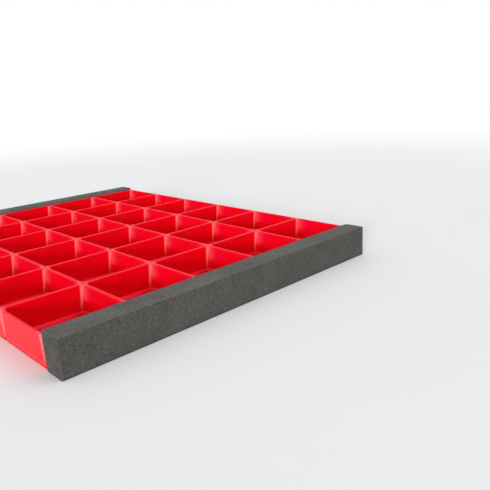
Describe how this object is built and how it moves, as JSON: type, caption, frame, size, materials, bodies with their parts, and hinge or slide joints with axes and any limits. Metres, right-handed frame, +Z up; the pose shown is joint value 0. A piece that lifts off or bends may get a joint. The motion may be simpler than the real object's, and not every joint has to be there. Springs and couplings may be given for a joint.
{
  "type": "drawer divider",
  "caption": "Drawer divider: a grid of loose open square bins with rounded corners, held between two foam filler strips, each bin lifting straight out.",
  "frame": {"origin": "middle of the footprint at the underside, where the bins and the strips stand on the drawer's floor", "axes": "+Z up, out of the drawer; -Y towards the drawer's front; +X to the right, seen from the front"},
  "size_m": [0.498, 0.3746, 0.0335],
  "materials": {
    "bin_plastic": "moulded, satin gloss, red",
    "filler_foam": "closed-cell foam, cut faces, dark grey"
  },
  "bodies": {
    "fillers": {"foam_strip_left": "filler_foam", "foam_strip_right": "filler_foam"},
    "bin_r1c1": {"bin_r1c1": "bin_plastic"},
    "bin_r1c2": {"bin_r1c2": "bin_plastic"},
    "bin_r1c3": {"bin_r1c3": "bin_plastic"},
    "bin_r1c4": {"bin_r1c4": "bin_plastic"},
    "bin_r1c5": {"bin_r1c5": "bin_plastic"},
    "bin_r1c6": {"bin_r1c6": "bin_plastic"},
    "bin_r2c1": {"bin_r2c1": "bin_plastic"},
    "bin_r2c2": {"bin_r2c2": "bin_plastic"},
    "bin_r2c3": {"bin_r2c3": "bin_plastic"},
    "bin_r2c4": {"bin_r2c4": "bin_plastic"},
    "bin_r2c5": {"bin_r2c5": "bin_plastic"},
    "bin_r2c6": {"bin_r2c6": "bin_plastic"},
    "bin_r3c1": {"bin_r3c1": "bin_plastic"},
    "bin_r3c2": {"bin_r3c2": "bin_plastic"},
    "bin_r3c3": {"bin_r3c3": "bin_plastic"},
    "bin_r3c4": {"bin_r3c4": "bin_plastic"},
    "bin_r3c5": {"bin_r3c5": "bin_plastic"},
    "bin_r3c6": {"bin_r3c6": "bin_plastic"},
    "bin_r4c1": {"bin_r4c1": "bin_plastic"},
    "bin_r4c2": {"bin_r4c2": "bin_plastic"},
    "bin_r4c3": {"bin_r4c3": "bin_plastic"},
    "bin_r4c4": {"bin_r4c4": "bin_plastic"},
    "bin_r4c5": {"bin_r4c5": "bin_plastic"},
    "bin_r4c6": {"bin_r4c6": "bin_plastic"},
    "bin_r5c1": {"bin_r5c1": "bin_plastic"},
    "bin_r5c2": {"bin_r5c2": "bin_plastic"},
    "bin_r5c3": {"bin_r5c3": "bin_plastic"},
    "bin_r5c4": {"bin_r5c4": "bin_plastic"},
    "bin_r5c5": {"bin_r5c5": "bin_plastic"},
    "bin_r5c6": {"bin_r5c6": "bin_plastic"}
  },
  "joints": [
    {"name": "lift_r1c1", "type": "slide", "parent": "fillers", "child": "bin_r1c1", "axis": [0, 0, 1], "range_m": [0, 0.045]},
    {"name": "lift_r1c2", "type": "slide", "parent": "fillers", "child": "bin_r1c2", "axis": [0, 0, 1], "range_m": [0, 0.045]},
    {"name": "lift_r1c3", "type": "slide", "parent": "fillers", "child": "bin_r1c3", "axis": [0, 0, 1], "range_m": [0, 0.045]},
    {"name": "lift_r1c4", "type": "slide", "parent": "fillers", "child": "bin_r1c4", "axis": [0, 0, 1], "range_m": [0, 0.045]},
    {"name": "lift_r1c5", "type": "slide", "parent": "fillers", "child": "bin_r1c5", "axis": [0, 0, 1], "range_m": [0, 0.045]},
    {"name": "lift_r1c6", "type": "slide", "parent": "fillers", "child": "bin_r1c6", "axis": [0, 0, 1], "range_m": [0, 0.045]},
    {"name": "lift_r2c1", "type": "slide", "parent": "fillers", "child": "bin_r2c1", "axis": [0, 0, 1], "range_m": [0, 0.045]},
    {"name": "lift_r2c2", "type": "slide", "parent": "fillers", "child": "bin_r2c2", "axis": [0, 0, 1], "range_m": [0, 0.045]},
    {"name": "lift_r2c3", "type": "slide", "parent": "fillers", "child": "bin_r2c3", "axis": [0, 0, 1], "range_m": [0, 0.045]},
    {"name": "lift_r2c4", "type": "slide", "parent": "fillers", "child": "bin_r2c4", "axis": [0, 0, 1], "range_m": [0, 0.045]},
    {"name": "lift_r2c5", "type": "slide", "parent": "fillers", "child": "bin_r2c5", "axis": [0, 0, 1], "range_m": [0, 0.045]},
    {"name": "lift_r2c6", "type": "slide", "parent": "fillers", "child": "bin_r2c6", "axis": [0, 0, 1], "range_m": [0, 0.045]},
    {"name": "lift_r3c1", "type": "slide", "parent": "fillers", "child": "bin_r3c1", "axis": [0, 0, 1], "range_m": [0, 0.045]},
    {"name": "lift_r3c2", "type": "slide", "parent": "fillers", "child": "bin_r3c2", "axis": [0, 0, 1], "range_m": [0, 0.045]},
    {"name": "lift_r3c3", "type": "slide", "parent": "fillers", "child": "bin_r3c3", "axis": [0, 0, 1], "range_m": [0, 0.045]},
    {"name": "lift_r3c4", "type": "slide", "parent": "fillers", "child": "bin_r3c4", "axis": [0, 0, 1], "range_m": [0, 0.045]},
    {"name": "lift_r3c5", "type": "slide", "parent": "fillers", "child": "bin_r3c5", "axis": [0, 0, 1], "range_m": [0, 0.045]},
    {"name": "lift_r3c6", "type": "slide", "parent": "fillers", "child": "bin_r3c6", "axis": [0, 0, 1], "range_m": [0, 0.045]},
    {"name": "lift_r4c1", "type": "slide", "parent": "fillers", "child": "bin_r4c1", "axis": [0, 0, 1], "range_m": [0, 0.045]},
    {"name": "lift_r4c2", "type": "slide", "parent": "fillers", "child": "bin_r4c2", "axis": [0, 0, 1], "range_m": [0, 0.045]},
    {"name": "lift_r4c3", "type": "slide", "parent": "fillers", "child": "bin_r4c3", "axis": [0, 0, 1], "range_m": [0, 0.045]},
    {"name": "lift_r4c4", "type": "slide", "parent": "fillers", "child": "bin_r4c4", "axis": [0, 0, 1], "range_m": [0, 0.045]},
    {"name": "lift_r4c5", "type": "slide", "parent": "fillers", "child": "bin_r4c5", "axis": [0, 0, 1], "range_m": [0, 0.045]},
    {"name": "lift_r4c6", "type": "slide", "parent": "fillers", "child": "bin_r4c6", "axis": [0, 0, 1], "range_m": [0, 0.045]},
    {"name": "lift_r5c1", "type": "slide", "parent": "fillers", "child": "bin_r5c1", "axis": [0, 0, 1], "range_m": [0, 0.045]},
    {"name": "lift_r5c2", "type": "slide", "parent": "fillers", "child": "bin_r5c2", "axis": [0, 0, 1], "range_m": [0, 0.045]},
    {"name": "lift_r5c3", "type": "slide", "parent": "fillers", "child": "bin_r5c3", "axis": [0, 0, 1], "range_m": [0, 0.045]},
    {"name": "lift_r5c4", "type": "slide", "parent": "fillers", "child": "bin_r5c4", "axis": [0, 0, 1], "range_m": [0, 0.045]},
    {"name": "lift_r5c5", "type": "slide", "parent": "fillers", "child": "bin_r5c5", "axis": [0, 0, 1], "range_m": [0, 0.045]},
    {"name": "lift_r5c6", "type": "slide", "parent": "fillers", "child": "bin_r5c6", "axis": [0, 0, 1], "range_m": [0, 0.045]}
  ]
}
